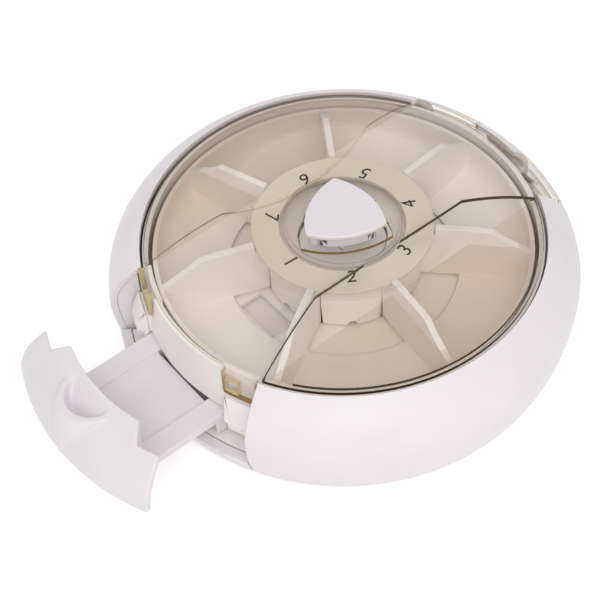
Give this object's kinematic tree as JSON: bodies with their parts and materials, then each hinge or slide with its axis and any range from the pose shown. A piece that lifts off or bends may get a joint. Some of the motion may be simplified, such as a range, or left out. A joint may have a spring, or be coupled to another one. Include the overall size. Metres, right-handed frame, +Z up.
{
  "type": "automatic pill dispenser",
  "caption": "Round rotary pill dispenser with a smoked clear dome, push-button indexing carousel, flip lid and front drawer.",
  "frame": {"origin": "on the body axis, on the surface that the feet stand on", "axes": "+Z up along the body axis, -Y towards the drawer, +Y towards the lid hinge, +X to the right as seen from the drawer"},
  "size_m": [0.142, 0.1739, 0.0455],
  "materials": {
    "white_plastic": "satin moulded",
    "smoked_clear_plastic": "clear, smoked brown",
    "cream_plastic": "satin",
    "grey_plastic": "natural moulded",
    "steel": "drawn wire",
    "rubber": "matt"
  },
  "bodies": {
    "housing": {"base_tray": "white_plastic", "rubber_feet": "rubber", "base_screws": "steel", "outer_shell": "white_plastic", "chassis": "white_plastic", "window_left": "smoked_clear_plastic", "window_right": "smoked_clear_plastic", "hinge_pin": "steel", "glide_washer": "grey_plastic", "retaining_clip": "steel", "return_spring": "steel", "detent_spring": "steel"},
    "drawer": {"drawer_tray": "white_plastic", "drawer_front": "white_plastic"},
    "lid": {"flip_lid": "smoked_clear_plastic"},
    "button": {"button_cap": "white_plastic", "button_stem": "white_plastic"},
    "driver": {"index_driver": "grey_plastic", "pawl_ring": "steel"},
    "carousel": {"carousel": "white_plastic", "number_disc": "cream_plastic", "ratchet_ring": "grey_plastic"}
  },
  "joints": [
    {"name": "drawer_slide", "type": "slide", "parent": "housing", "child": "drawer", "axis": [0, -1, 0], "range_m": [-0.027, 0.018]},
    {"name": "lid_hinge", "type": "hinge", "parent": "housing", "child": "lid", "pos_m": [0, 0.0676, 0.0195], "axis": [-1, 0, 0], "range_deg": [0, 100]},
    {"name": "button_press", "type": "slide", "parent": "housing", "child": "button", "axis": [0, 0, -1], "range_m": [0, 0.0045], "stiffness_N_per_m": 600, "springref_m": -0.003, "deforming": ["return_spring"]},
    {"name": "index_turn", "type": "hinge", "parent": "housing", "child": "driver", "pos_m": [0, 0, 0.03], "axis": [0, 0, 1], "range_deg": [-52, 0.2], "deforming": ["pawl_ring"]},
    {"name": "carousel_turn", "type": "hinge", "parent": "housing", "child": "carousel", "pos_m": [0, 0, 0.0196], "axis": [0, 0, 1], "continuous": true, "deforming": ["detent_spring"]}
  ],
  "couplings": [
    {"joint": "index_turn", "follows": "button_press", "rad_per_m": -199.47}
  ]
}
